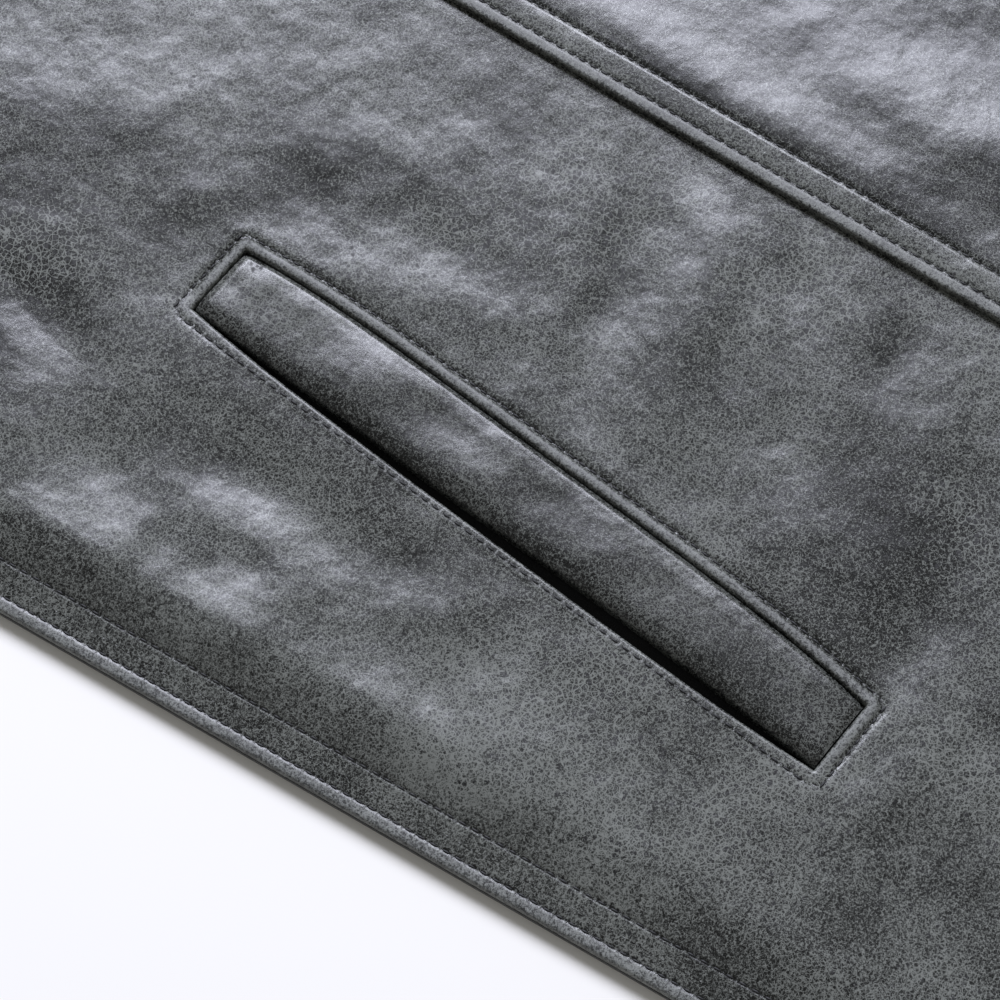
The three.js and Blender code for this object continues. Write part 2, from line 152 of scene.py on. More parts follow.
def finish_piece(name, points, faces, material, sharp=50):
    """A mesh object of points in millimetres, smooth but for edges sharper than the given angle."""
    mesh = bpy.data.meshes.new(name)
    mesh.from_pydata((points / MM).tolist(), [], [list(face) for face in faces])
    mesh.shade_smooth()
    mesh.set_sharp_from_angle(angle=radians(sharp))
    mesh.materials.append(material)
    piece = bpy.data.objects.new(name, mesh)
    bpy.context.collection.objects.link(piece)
    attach(piece, "root")
    return piece


def wall_piece(name, top, bottom, material, keep=None, marks=None):
    """A closed wall between two grids of points: both faces, and a band along every edge that is left
    once the cells that keep drops are out. marks are numbers on the grid that the material reads."""
    rows, columns = top.shape[:2]
    index = np.arange(rows * columns).reshape(rows, columns)
    cells = np.stack([index[:-1, :-1], index[:-1, 1:], index[1:, 1:], index[1:, :-1]], -1)
    cells = cells.reshape(-1, 4) if keep is None else cells[keep]
    corner = top.reshape(-1, 3)[cells[:WINDING_CELLS]]
    across, up = corner[:, 1] - corner[:, 0], corner[:, 3] - corner[:, 0]
    if (across[:, 0] * up[:, 1] - across[:, 1] * up[:, 0]).sum() < 0:
        cells = cells[:, ::-1]
    layer = rows * columns
    start, end = cells.reshape(-1), np.roll(cells, -1, axis=1).reshape(-1)
    rim = ~np.isin(start * layer + end, end * layer + start)
    a, b = start[rim], end[rim]
    band = np.stack([b, a, a + layer, b + layer], -1)
    faces = np.concatenate([cells, cells[:, ::-1] + layer, band])
    used, faces = np.unique(faces, return_inverse=True)
    points = np.concatenate([top.reshape(-1, 3), bottom.reshape(-1, 3)])[used]
    piece = finish_piece(name, points, faces.reshape(-1, 4), material)
    for mark, values in (marks or {}).items():
        both = np.concatenate([values.reshape(-1), values.reshape(-1)])[used]
        layer_of = piece.data.attributes.new(mark, "FLOAT", "POINT")
        layer_of.data.foreach_set("value", both.astype(np.float32))
    return piece


def stitch_row(line, inset, start, end):
    """Both ends of each stitch along a line moved over to its left by the inset: one stitch every pitch of
    the line's own length."""
    middles = np.arange(np.ceil(start / STITCH_PITCH), np.floor(end / STITCH_PITCH)) * STITCH_PITCH
    middles = middles + STITCH_PITCH / 2
    places = []
    for shift in (-0.5, 0.5):
        run = middles + shift * STITCH_LENGTH
        at, ahead, behind = at_length(line, run), at_length(line, run + 0.5), at_length(line, run - 0.5)
        direction = (ahead - behind) / np.hypot(*(ahead - behind).T)[:, None]
        left = np.stack([-direction[:, 1], direction[:, 0]], -1)
        places.append(at + inset * left)
    return np.stack(places, 1)


def closed_rings(rings, sides):
    """Faces of a body given as rings of points and then its first and last pole: quads from ring to ring,
    and a fan of triangles at each pole."""
    index = np.arange(rings * sides).reshape(rings, sides)
    around = np.roll(index, -1, axis=1)
    quads = np.stack([index[:-1], around[:-1], around[1:], index[1:]], -1).reshape(-1, 4)
    pole = np.full(sides, rings * sides)
    fans = np.stack([pole, around[0], index[0]], -1), np.stack([pole + 1, index[-1], around[-1]], -1)
    return quads, np.concatenate(fans)


def thread_piece(name, ends, height_at, side, material):
    """Stitches as small spindles between their two ends on the leather, six-sided, thickest at the middle
    and sunk at both ends. height_at gives the leather's top at own coordinates."""
    ends3 = np.concatenate([ends, height_at(ends[..., 0], ends[..., 1])[..., None]], -1)
    ends3[..., 0] *= side
    along = ends3[:, 1] - ends3[:, 0]
    along /= np.linalg.norm(along, axis=1)[:, None]
    across = np.cross(np.array([0.0, 0.0, 1.0]), along)
    across /= np.linalg.norm(across, axis=1)[:, None]
    ways = np.stack([along, across, np.cross(along, across)], 1)
    turn = np.arange(THREAD_SIDES) * 2 * np.pi / THREAD_SIDES
    share = THREAD_RINGS[:, None] + 0 * turn
    reach = THREAD_RADIUS * np.sqrt(1 - 0.9 * share**2)
    sunk = 0.02 - 0.34 * share**4
    rings = np.stack([share * STITCH_LENGTH / 2, reach * np.cos(turn), reach * np.sin(turn) + sunk], -1)
    tips = [[end * STITCH_LENGTH / 2, 0, -TIP_DEPTH] for end in (-1, 1)]
    shape = np.concatenate([rings.reshape(-1, 3), tips])
    points = ends3.mean(1)[:, None] + shape @ ways
    first = len(shape) * np.arange(len(ends))[:, None, None]
    faces = []
    for kind in closed_rings(len(THREAD_RINGS), THREAD_SIDES):
        faces += (kind + first).reshape(-1, kind.shape[1]).tolist()
    return finish_piece(name, points.reshape(-1, 3), faces, material, 180)


class Shade:
    """A shader socket that arithmetic works on: each operator adds the Math node that does it."""

    def __init__(self, tree, socket=None):
        self.tree = tree
        self.socket = socket

    def node(self, kind, settings=(), inputs=(), out=0):
        """Adds a node: its settings first, then its inputs, each a plain value or another Shade."""
        made = self.tree.nodes.new("ShaderNode" + kind)
        for key, value in dict(settings).items():
            setattr(made, key, value)
        for key, value in dict(inputs).items():
            if isinstance(value, Shade):
                self.tree.links.new(value.socket, made.inputs[key])
            else:
                made.inputs[key].default_value = value
        return Shade(self.tree, made.outputs[out]) if made.outputs else made

    def math(self, operation, *values):
        """A Math node of that operation on the values."""
        return self.node("Math", {"operation": operation}, dict(enumerate(values)))

    def __add__(self, other):
        return self.math("ADD", self, other)

    def __mul__(self, other):
        return self.math("MULTIPLY", self, other)

    def __sub__(self, other):
        return self.math("SUBTRACT", self, other)

    def __rsub__(self, other):
        return self.math("SUBTRACT", other, self)

    __radd__ = __add__
    __rmul__ = __mul__

    def step(self, low, high):
        """0 up to low and 1 from high, eased between them."""
        values = {"Value": self, "From Min": low, "From Max": high}
        return self.node("MapRange", {"interpolation_type": "SMOOTHSTEP"}, values)

    def blend(self, a, b):
        """Colour a where this is 0 and colour b where it is 1."""
        return self.node("Mix", {"data_type": "RGBA"}, {0: self, 6: a, 7: b}, out=2)

    def mark(self, name):
        """A mark of the mesh, by its name."""
        return self.node("Attribute", {"attribute_name": name}, out=2)

    def beside(self, out):
        """Another output of the node that this one comes from."""
        return Shade(self.tree, self.socket.node.outputs[out])


def new_material(name):
    """A material that is still empty, a Shade on its tree, and the object's own coordinates."""
    material = bpy.data.materials.new(name)
    material.use_nodes = True
    material.node_tree.nodes.clear()
    start = Shade(material.node_tree)
    return material, start, start.node("TexCoord", {}, {}, out=3)


def noise(place, scale, detail=2.0, roughness=0.5, **more):
    """Noise about as fine as one over the scale, in millimetres."""
    inputs = {"Vector": place, "Scale": scale * MM, "Detail": detail, "Roughness": roughness, **more}
    return place.node("TexNoise", {}, inputs)


def close_material(start, colour, roughness, height, **constants):
    """A Principled surface from colour, roughness and a height in millimetres, with constants on its own
    sockets."""
    normal = start.node("Bump", {}, {"Strength": 1.0, "Distance": 1 / MM, "Height": height})
    inputs = {"Base Color": colour, "Roughness": roughness, "Normal": normal}
    inputs.update({key.replace("_", " "): value for key, value in constants.items()})
    surface = start.node("BsdfPrincipled", {}, inputs)
    start.node("OutputMaterial", {}, {"Surface": surface})


def thread_material():
    """Black bonded thread: dark, a little shiny, with a fine twist."""
    material, start, place = new_material("bonded_thread")
    twist = noise(place, 2.2)
    colour = twist.blend(THREAD_COLOUR, (0.022, 0.023, 0.024, 1))
    close_material(start, colour, 0.55 + 0.1 * twist, 0.05 * twist)
    return material


def suede_material():
    """The leather's flesh side: short dull nap in clouds, lighter where it is brushed up."""
    material, start, place = new_material("flesh_side")
    clouds = noise(place, 0.045, 5.0, 0.6)
    nap = noise(place, 1.4, 4.0, 0.7)
    tone = 0.55 * clouds + 0.45 * nap
    colour = tone.step(0.3, 0.7).blend(SUEDE_COLOUR, (0.075, 0.077, 0.077, 1))
    height = 0.16 * nap + 0.3 * clouds
    close_material(start, colour, 0.8 + 0.1 * nap, height, Sheen_Weight=0.25, Sheen_Roughness=0.5)
    return material


def coons(low, high, left, right):
    """A grid between four border lines: the two straight blends of opposite borders added together, less
    the straight blend of the four corners."""
    u = np.linspace(0, 1, len(low))[None, :, None]
    v = np.linspace(0, 1, len(left))[:, None, None]
    blend_v = (1 - v) * low[None] + v * high[None]
    blend_u = (1 - u) * left[:, None] + u * right[:, None]
    corners = (1 - v) * ((1 - u) * low[0] + u * low[-1]) + v * ((1 - u) * high[0] + u * high[-1])
    return blend_v + blend_u - corners


def back_outline():
    """Borders of the back: hem, side and armhole, and the shoulders with the dip of the neck between them."""
    armhole = bezier(UNDERARM, *BACK_ARMHOLE_PULL, SHOULDER_TIP, 60)
    side = np.concatenate([[[HALF_WIDTH, HEM_Y]], armhole])
    share = np.linspace(-1, 1, 81)
    neck = np.stack([share * NECK_POINT[0], NECK_Y - BACK_NECK_DROP * (1 - share**2) ** 0.6], -1)
    top = np.concatenate([[[-SHOULDER_TIP[0], SHOULDER_TIP[1]]], neck, [SHOULDER_TIP]])
    return side, neck, top


back_side, back_neck, back_top = back_outline()
mirror = np.array([-1, 1])
run_at_turns = np.cumsum([0, SHOULDER_RUN, NECK_RUN, SHOULDER_RUN])
turns = [0, SHOULDER_SHARE, 1 - SHOULDER_SHARE, 1]
back_run = np.interp(np.linspace(0, 1, BACK_COLUMNS), turns, run_at_turns / run_at_turns[-1])
low_border = np.stack([(2 * back_run - 1) * HALF_WIDTH, np.full(BACK_COLUMNS, HEM_Y)], -1)
high_border = at_length(back_top, back_run * lengths(back_top)[-1])
right_border = at_length(back_side, np.linspace(0, 1, BACK_ROWS) * lengths(back_side)[-1])
back_plan = coons(low_border, high_border, right_border * mirror, right_border)
back_own, back_y = np.abs(back_plan[..., 0]), back_plan[..., 1]
half_neck = back_neck[::-1][: len(back_neck) // 2 + 1]
edge_away = from_line(np.concatenate([[[0, HEM_Y]], back_side, half_neck]), back_own, back_y)[0]
back_z = WALL - BACK_SINK + np.minimum(0, 0.5 * edge_relief(edge_away))
stitch_material = thread_material()
back = wall_piece(
    "back_leather",
    np.concatenate([back_plan, back_z[..., None]], -1),
    np.concatenate([back_plan, 0 * back_z[..., None]], -1),
    suede_material(),
)
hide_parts("back")
back_stitches = [stitch_row(back_neck, -inset, 2, lengths(back_neck)[-1] - 2) for inset in EDGE_ROWS]
armhole_from = UNDERARM[1] - HEM_Y + 6
armhole_row = stitch_row(back_side, EDGE_ROWS[0], armhole_from, lengths(back_side)[-1] - 4)
back_stitches += [armhole_row, armhole_row[:, ::-1] * mirror]


def back_top_at(own, y):
    """Top of the back's leather, which lies flat."""
    return np.full(np.shape(own), WALL - BACK_THREAD_SINK)


back_thread = thread_piece("back_stitching", np.concatenate(back_stitches), back_top_at, 1, stitch_material)

# Side fronts: each half's outer panel, from the side seam and armhole to the lapped front seam. It has a
# window for the hand pocket's welt, with a turned and stitched rim, and lies in soft folds on the back.

GAP = 0.3
REST = WALL + GAP
PUFF, PUFF_FROM, PUFF_REACH = 3.8, 2, 22
LAP = 9
OVERLAP = 20
NECK_BREAK = (-OVERLAP, 85)
ARMHOLE_PULL = ((215, 70), (178, 165))
SEAM_OWN, SEAM_Y, SEAM_LEAN = 92.2, -151, -0.053
SEAM_BEND_START, SEAM_BEND_END, SEAM_SHOULDER = 40, 300.8, 148
POCKET_OWN, POCKET_Y, POCKET_SLANT = 187, -151, radians(7.8)
WINDOW_HALF, WINDOW_ACROSS, WINDOW_CORNER = 86, 9.3, 1.2
SEAT_BOW, MOUTH_BOW = 2.7, 1.7
RIM_HEIGHT, MOUTH_RIM_HEIGHT, RIM_WIDTH = 0.65, 0.12, 2.7
RIM_ROW = 3.4
RIM_STEPS = np.array([0, 0.08, 0.28, 0.6, 1.0, 1.5, 2.1, 2.7, 3.2, 3.5, 3.8, 4.2, 4.8, 5.8])
LOOSE_FROM_OUTLINE, LOOSE_FROM_SEAM, CREASED_FROM_OUTLINE = (3, 18), (3, 16), (6, 16)
WAVE_RISE = 0.09
LEAST_WALL = 0.5
ROWS_BELOW, ROWS_BESIDE, ROWS_ABOVE = 41, 106, 147
COLUMNS_BEFORE, COLUMNS_WITHIN, COLUMNS_AFTER = 20, 12, 33

# Each row is one soft ridge or trough: own, y, half-length, half-width, turn in degrees, rise.
FOLDS = {
    "right": [
        (247, -70, 22, 8, 0, 1.3), (246, -112, 26, 8, 2, 1.1), (245, -155, 20, 9, -2, 1.2),
        (237, -179, 16, 9, -55, 1.0), (212, -97, 18, 8, 2, -1.4), (214, -128, 14, 7, 0, -0.7),
        (203, -38, 18, 7, -14, -1.0), (225, -70, 10, 7, 0, -0.7), (228, -46, 14, 8, -60, 0.6),
        (198, -62, 18, 10, 20, 0.5), (196, -112, 14, 9, 0, 0.4), (156, -106, 26, 7, 15, 0.35),
        (126, -160, 28, 8, -72, 1.3), (136, -143, 26, 7, -75, -1.1), (148, -74, 12, 7, -20, -0.4),
        (143, -102, 14, 6, 0, -0.5), (142, -192, 14, 7, -50, -0.7), (112, -177, 16, 6, -60, -0.6),
        (115, -204, 12, 5, -80, -0.5), (164, -208, 18, 9, 15, 0.4), (126, -221, 18, 7, -70, 0.7),
        (170, -238, 22, 8, 90, -0.8), (204, -251, 20, 7, 88, 0.7), (218, -160, 10, 6, -70, -0.5),
        (222, -198, 20, 8, 0, -0.5), (186, -26, 12, 8, 0, 0.4), (128, -92, 26, 9, 10, 0.25),
        (205, 48, 60, 17, 58, 1.6), (160, 96, 60, 18, 30, -1.4), (172, 196, 50, 15, -12, 1.2),
        (54, -214, 58, 16, 18, 1.2), (56, -70, 66, 15, -16, 1.3), (60, 60, 52, 16, 24, -1.1),
        (104, 214, 46, 15, 20, 1.1),
    ],
    "left": [
        (230, -96, 78, 15, -6, 1.5), (224, -236, 36, 15, 18, 1.2), (150, -82, 52, 16, 54, 1.4),
        (126, -152, 44, 14, -26, -1.3), (148, -250, 46, 17, 64, 1.4), (200, 38, 64, 16, 50, 1.6),
        (150, 82, 54, 17, 22, -1.3), (168, 184, 56, 14, -8, 1.3), (50, -232, 50, 16, -20, 1.2),
        (54, -104, 70, 15, 12, 1.2), (56, 44, 58, 15, -22, 1.2), (110, 226, 44, 14, 14, -1.0),
    ],
}
CREASES = {
    "right": [
        (233, -88, 3.5, 14, 4, -0.25), (223, -104, 16, 5, -4, 0.2), (232, -101, 12, 5, 8, -0.2),
        (228, -150, 6, 14, 10, 0.2), (150, -128, 10, 5, 20, 0.2), (160, -92, 9, 5, 0, 0.15),
        (106, -142, 9, 9, 0, 0.2), (177, -24, 14, 6, 40, 0.2), (160, -50, 14, 5, 40, 0.25),
        (168, -178, 22, 6, 12, -0.15), (200, -70, 22, 6, -10, -0.15), (215, -205, 26, 7, 30, 0.2),
        (62, -185, 70, 16, -3, 1.4), (160, -12, 44, 17, 31, 0.8), (235, -85, 12, 8, 31, 0.55),
        (235, -117, 12, 8, 31, 0.7), (217, -153, 12, 7, 31, 0.6), (251, -111, 10, 7, 31, 0.5),
    ],
    "left": [
        (247, -110, 60, 5, 1, 0.6), (220, -60, 24, 6, 30, 0.45), (206, -150, 34, 6, -8, 0.4),
        (150, -118, 30, 6, 16, 0.45), (128, -84, 26, 6, -28, -0.4), (112, -196, 34, 6, 10, 0.4),
        (164, -268, 8, 30, 12, 0.4), (232, -196, 30, 6, 14, 0.4), (190, -26, 24, 6, 48, 0.45),
        (120, 0, 30, 6, 20, 0.4), (176, 60, 30, 7, 34, 0.45), (140, 150, 34, 6, -10, 0.4),
        (128, -248, 20, 6, 40, -0.35), (216, -284, 7, 28, -8, 0.35),
    ],
}

# Each row is one area of coarse dark pits: own, y, half-length, half-width, turn in degrees, strength.
PITTED_AREAS = [
    (126, -118, 30, 18, 20, 0.3), (186, -26, 10, 16, 20, 0.2), (118, -182, 22, 26, 0, 0.15),
    (150, -232, 14, 12, 0, 0.15), (205, -90, 16, 9, 0, 0.1), (226, -180, 10, 20, 0, 0.1),
]

# Each row is one area of darker or paler colour: own, y, half-length, half-width, turn, strength. It is
# partly the leather's own uneven tone and partly painted light: painted shade and painted sheen of the key
# light on the folds.
TONE_SHADE_AND_SHEEN_AREAS = [
    (105, -90, 80, 60, 0, -0.07), (228, -150, 20, 12, 0, 0.05), (180, -112, 60, 14, 8, 0.03),
    (180, -18, 34, 34, 0, -0.36), (212, -32, 16, 16, 0, -0.34), (150, -74, 22, 12, 30, -0.26),
    (100, -155, 14, 12, 0, -0.22), (154, -97, 14, 8, 0, -0.12), (188, -56, 14, 10, 0, -0.14),
    (243, -100, 24, 8, 0, 0.14), (140, -141, 22, 10, 20, -0.08), (154, -228, 26, 30, 60, -0.32),
    (110, -205, 20, 16, 0, -0.08), (252, -130, 70, 9, 0, 0.12), (244, -180, 30, 20, 0, 0.16),
    (234, -131, 24, 10, 0, 0.08), (190, -205, 20, 14, 0, -0.05), (130, -112, 26, 16, 20, 0.03),
]


def bump_rise(table, own, y):
    """Sum of bells, each turned and stretched along its fold, times its rise."""
    rise = np.zeros(np.shape(own))
    for fold_own, fold_y, half_length, half_width, turn, height in table:
        sin, cos = np.sin(radians(turn)), np.cos(radians(turn))
        along = ((own - fold_own) * sin + (y - fold_y) * cos) / half_length
        across = ((own - fold_own) * cos - (y - fold_y) * sin) / half_width
        rise += height * np.exp(-along * along - across * across)
    return rise


def seam_own(y):
    """The front seam: a leaning line, bent out above by a smooth step to the middle of the shoulder."""
    straight_end = SEAM_OWN + SEAM_LEAN * (SEAM_BEND_END - SEAM_Y)
    bend = (SEAM_SHOULDER - straight_end) * smoothstep(y, SEAM_BEND_START, SEAM_BEND_END)
    return SEAM_OWN + SEAM_LEAN * (y - SEAM_Y) + bend


seam_y = np.linspace(HEM_Y, SEAM_BEND_END, 65)
seam_line = np.stack([seam_own(seam_y), seam_y], -1)
armhole = bezier(UNDERARM, *ARMHOLE_PULL, SHOULDER_TIP, 48)
side_line = np.concatenate([[[HALF_WIDTH, HEM_Y]], armhole])
hem_line = np.array([[0, HEM_Y], [HALF_WIDTH, HEM_Y]], float)
overlap_share = OVERLAP / (OVERLAP + NECK_POINT[0])
neck_crossing = np.array(NECK_BREAK) + (np.array(NECK_POINT) - NECK_BREAK) * overlap_share
outline = np.concatenate([hem_line[:1], side_line, [NECK_POINT, neck_crossing]])


def looseness(own, y):
    """How free the leather is: nothing at the outline, the seam and the overlap, and 1 away from them."""
    to_outline = from_line(outline, np.maximum(np.abs(own), OVERLAP), y)[0]
    to_seam = np.minimum(from_line(seam_line, own, y)[0], np.maximum(own - OVERLAP, 0))
    loose = smoothstep(to_outline, *LOOSE_FROM_OUTLINE) * smoothstep(to_seam, *LOOSE_FROM_SEAM)
    return loose, to_outline


def bed_height(half, own, y):
    """Under side of a single layer of leather: its rest height, a puff away from the outline, and the folds
    of that half where it is loose."""
    loose, to_outline = looseness(own, y)
    puff = PUFF * smoothstep(to_outline, PUFF_FROM, PUFF_REACH)
    return REST + puff + bump_rise(FOLDS[half], own, y) * loose


def leather_height(half, own, y):
    """Top of a single layer of leather: a wall above its under side, with the creases of that half and a
    slow unevenness of two crossed waves."""
    loose, to_outline = looseness(own, y)
    wave = np.sin(own / 5.3 + 1.6 * np.sin(y / 17)) * np.sin(y / 6.7 + 1.4 * np.sin(own / 13))
    wave += 0.6 * np.sin(own / 3.1 + 2.0 * np.sin(y / 9)) * np.sin(y / 3.7 + own / 8)
    fine = bump_rise(CREASES[half], own, y) + WAVE_RISE * wave
    return bed_height(half, own, y) + WALL + fine * smoothstep(to_outline, *CREASED_FROM_OUTLINE) * loose


def to_pocket(own, y):
    """Pocket places: s up along the welt and p from the side seam to the centre front."""
    sin, cos = np.sin(POCKET_SLANT), np.cos(POCKET_SLANT)
    a, b = POCKET_OWN - own, y - POCKET_Y
    return a * sin + b * cos, a * cos - b * sin


def from_pocket(s, p):
    """Own coordinates of a place by the pocket."""
    sin, cos = np.sin(POCKET_SLANT), np.cos(POCKET_SLANT)
    return np.stack([POCKET_OWN - s * sin - p * cos, POCKET_Y + s * cos - p * sin], -1)


def bowed(s):
    """How far a long side of the window is bowed: 1 at its middle, less the fourth power of the share of the
    way to its end."""
    return 1 - np.minimum(1, np.abs(s) / (WINDOW_HALF - WINDOW_CORNER)) ** 4


def outside_window(s, p, mouth_bow=MOUTH_BOW):
    """Distance outward from the window's edge, round its corners, and less than 0 inside it."""
    half = WINDOW_ACROSS + np.where(p > 0, SEAT_BOW, mouth_bow) * bowed(s)
    dp, ds = np.abs(p) - half, np.abs(s) - WINDOW_HALF
    return np.hypot(np.maximum(dp, 0), np.maximum(ds, 0)) + np.minimum(np.maximum(dp, ds), 0)


def rim_relief(s, p):
    """The window's rim: a full bead round the edge, low on the mouth side, with a groove outside it."""
    away = outside_window(s, p)
    row_away = outside_window(s, p, 0) - RIM_ROW
    seat = smoothstep(p, -8, -2)
    height = MOUTH_RIM_HEIGHT + (RIM_HEIGHT - MOUTH_RIM_HEIGHT) * seat
    share = np.clip((away - RIM_WIDTH / 2) / (RIM_WIDTH / 2 + 0.25), -1, 1)
    bead = height * (1 - share**2) ** 0.55
    groove = (0.10 + 0.24 * seat) * hump(row_away, 0, 0.45) * smoothstep(away, 0.4, 1.2)
    beyond = 0.10 * seat * hump(row_away, 2.2, 1.3)
    return np.where(away < 8, bead - groove + beyond - rounded_drop(np.maximum(away, 0), 0.75), 0)


def row_reach(s):
    """Where the row at s meets the side edge and the seam, as places p."""
    sin, cos = np.sin(POCKET_SLANT), np.cos(POCKET_SLANT)
    p_side = (POCKET_OWN - HALF_WIDTH - s * sin) / cos
    return p_side, (POCKET_OWN - SEAM_OWN - s * (sin + SEAM_LEAN * cos)) / (cos - SEAM_LEAN * sin)


def side_rows():
    """Ends of the rows across a side front, on the side and on the seam. Beside the window a row holds one
    height s of the pocket; below and above it the rows spread evenly to the hem and the shoulder."""
    beyond = WINDOW_HALF + RIM_STEPS
    inner = WINDOW_HALF - np.array([0.5, 1.2, 2.2])
    middle = np.linspace(3.6 - WINDOW_HALF, WINDOW_HALF - 3.6, ROWS_BESIDE)
    s = np.sort(np.concatenate([-beyond, -inner, middle, inner, beyond]))
    p_side, p_seam = row_reach(s)
    side_mid = from_pocket(s, p_side)
    seam_mid = from_pocket(s, p_seam)
    below = np.linspace(0, 1, ROWS_BELOW + 1)[:-1, None]
    side_low = side_line[0] + below * (side_mid[0] - side_line[0])
    seam_y_low = HEM_Y + below[:, 0] * (seam_mid[0, 1] - HEM_Y)
    above = np.linspace(0, 1, ROWS_ABOVE + 1)[1:]
    side_run = side_mid[-1, 1] - HEM_Y + above * (lengths(side_line)[-1] - side_mid[-1, 1] + HEM_Y)
    side_high = at_length(side_line, side_run)
    seam_y_high = seam_mid[-1, 1] + above * (SEAM_BEND_END - seam_mid[-1, 1])
    side = np.concatenate([side_low, side_mid, side_high])
    seam_y = np.concatenate([seam_y_low, seam_mid[:, 1], seam_y_high])
    s_of_row = np.concatenate([np.full(ROWS_BELOW, s[0]), s, np.full(ROWS_ABOVE, s[-1])])
    return side, np.stack([seam_own(seam_y), seam_y], -1), s_of_row


def lap_point(seam):
    """The seam moved over by the lap, and up along the shoulder's slope at its top."""
    slope = (NECK_POINT[1] - SHOULDER_TIP[1]) / (SHOULDER_TIP[0] - NECK_POINT[0])
    climb = slope * smoothstep(seam[:, 1], 60, SEAM_BEND_END)
    return seam + np.stack([np.full(len(seam), -LAP), LAP * climb], -1)


def between(a, b, count):
    """Even steps from each a to its b, without the ends."""
    return a[:, None] + (b - a)[:, None] * np.linspace(0, 1, count + 2)[None, 1:-1]


def side_plan():
    """Own places of a side front's grid, with dense columns at the side edge and on both sides of the
    window, and which columns are the window's own edges."""
    side, seam, s = side_rows()
    width = np.linalg.norm(seam - side, axis=1)
    p_side, p_seam = row_reach(s)
    mouth = (-WINDOW_ACROSS - MOUTH_BOW * bowed(s) - p_side) / (p_seam - p_side)
    seat = (WINDOW_ACROSS + SEAT_BOW * bowed(s) - p_side) / (p_seam - p_side)
    edge = EDGE_STEPS[None] / width[:, None]
    rim = RIM_STEPS[None] / width[:, None]
    before_rim = mouth[:, None] - rim[:, ::-1]
    after_rim = seat[:, None] + rim
    ones = np.ones(len(side))
    shares = [
        edge,
        between(edge[:, -1], before_rim[:, 0], COLUMNS_BEFORE),
        before_rim,
        between(mouth, seat, COLUMNS_WITHIN),
        after_rim,
        between(after_rim[:, -1], ones, COLUMNS_AFTER),
        ones[:, None],
    ]
    columns = np.concatenate(shares, 1)
    plan = side[:, None] + columns[..., None] * (seam - side)[:, None]
    lap = lap_point(seam)
    under_lap = seam[:, None] + np.array([0.33, 0.67, 1])[None, :, None] * (lap - seam)[:, None]
    mouth_column = edge.shape[1] + COLUMNS_BEFORE + len(RIM_STEPS) - 1
    return np.concatenate([plan, under_lap], 1), s, (mouth_column, mouth_column + COLUMNS_WITHIN + 1)


plan, row_s, (mouth_column, seat_column) = side_plan()
side_own, side_y = plan[..., 0], plan[..., 1]
keep_cells = np.ones((plan.shape[0] - 1, plan.shape[1] - 1), bool)
window_rows = (np.abs(row_s[:-1] + row_s[1:]) / 2 < WINDOW_HALF) & (row_s[:-1] != row_s[1:])
keep_cells[np.ix_(window_rows, np.arange(mouth_column, seat_column))] = False


def side_marks(own, y, s, p):
    """What the leather shader reads on a side front: wear on the lips and the rim, and the nearest stitch
    row's offset and run."""
    edge_away, edge_run = from_line(side_line, own, y)
    hem_away = y - HEM_Y
    rim_away = outside_window(s, p)
    rim_offset = outside_window(s, p, 0) - RIM_ROW
    rim_run = np.where(np.abs(s) > WINDOW_HALF + 1, p, s)
    seat = smoothstep(p, -8, -2)
    rim_wear = smoothstep(rim_away, 0.2, 0.7) * (1 - smoothstep(rim_away, 1.9, 2.7)) * (0.3 + 0.7 * seat)
    rim_wear = np.where(rim_away > -0.5, rim_wear, 0)
    wear = np.maximum(0.85 * (1 - smoothstep(np.minimum(edge_away, hem_away), 1.5, 2.8)), rim_wear)
    offsets = [edge_away - EDGE_ROWS[0], edge_away - EDGE_ROWS[1]]
    offsets += [hem_away - EDGE_ROWS[0], hem_away - EDGE_ROWS[1], rim_offset]
    offset, run = nearest_row(offsets, [edge_run, edge_run, own, own, rim_run])
    # tone: the leather's own uneven tone, with painted shade and painted sheen among it.
    pitted, tone = bump_rise(PITTED_AREAS, own, y), bump_rise(TONE_SHADE_AND_SHEEN_AREAS, own, y)
    return {"wear": wear, "row_offset": offset, "row_run": run / STITCH_PITCH, "pitted": pitted, "tone": tone}


def window_stitches():
    """Ends of the stitches round the window, along both sides and across both ends. The seat side's row is
    bowed as the window, and the mouth side's row is straight."""
    reach = np.array([-0.5, 0.5]) * STITCH_LENGTH
    s = (np.arange(-28, 28) + 0.5)[:, None] * STITCH_PITCH + reach
    p = (np.arange(-4, 4) + 0.5)[:, None] * STITCH_PITCH + reach
    out = WINDOW_ACROSS + RIM_ROW
    rows = [from_pocket(s, out + SEAT_BOW * bowed(s)), from_pocket(s, 0 * s - out)]
    rows += [from_pocket(0 * p + end * (WINDOW_HALF + RIM_ROW), p) for end in (-1, 1)]
    return np.concatenate(rows)


def side_height(half, own, y):
    """Top of a side front: the leather, its turned outer edges and the rim of its window."""
    s, p = to_pocket(own, y)
    edge_away = np.minimum(from_line(side_line, own, y)[0], y - HEM_Y)
    return leather_height(half, own, y) + edge_relief(edge_away) + rim_relief(s, p)


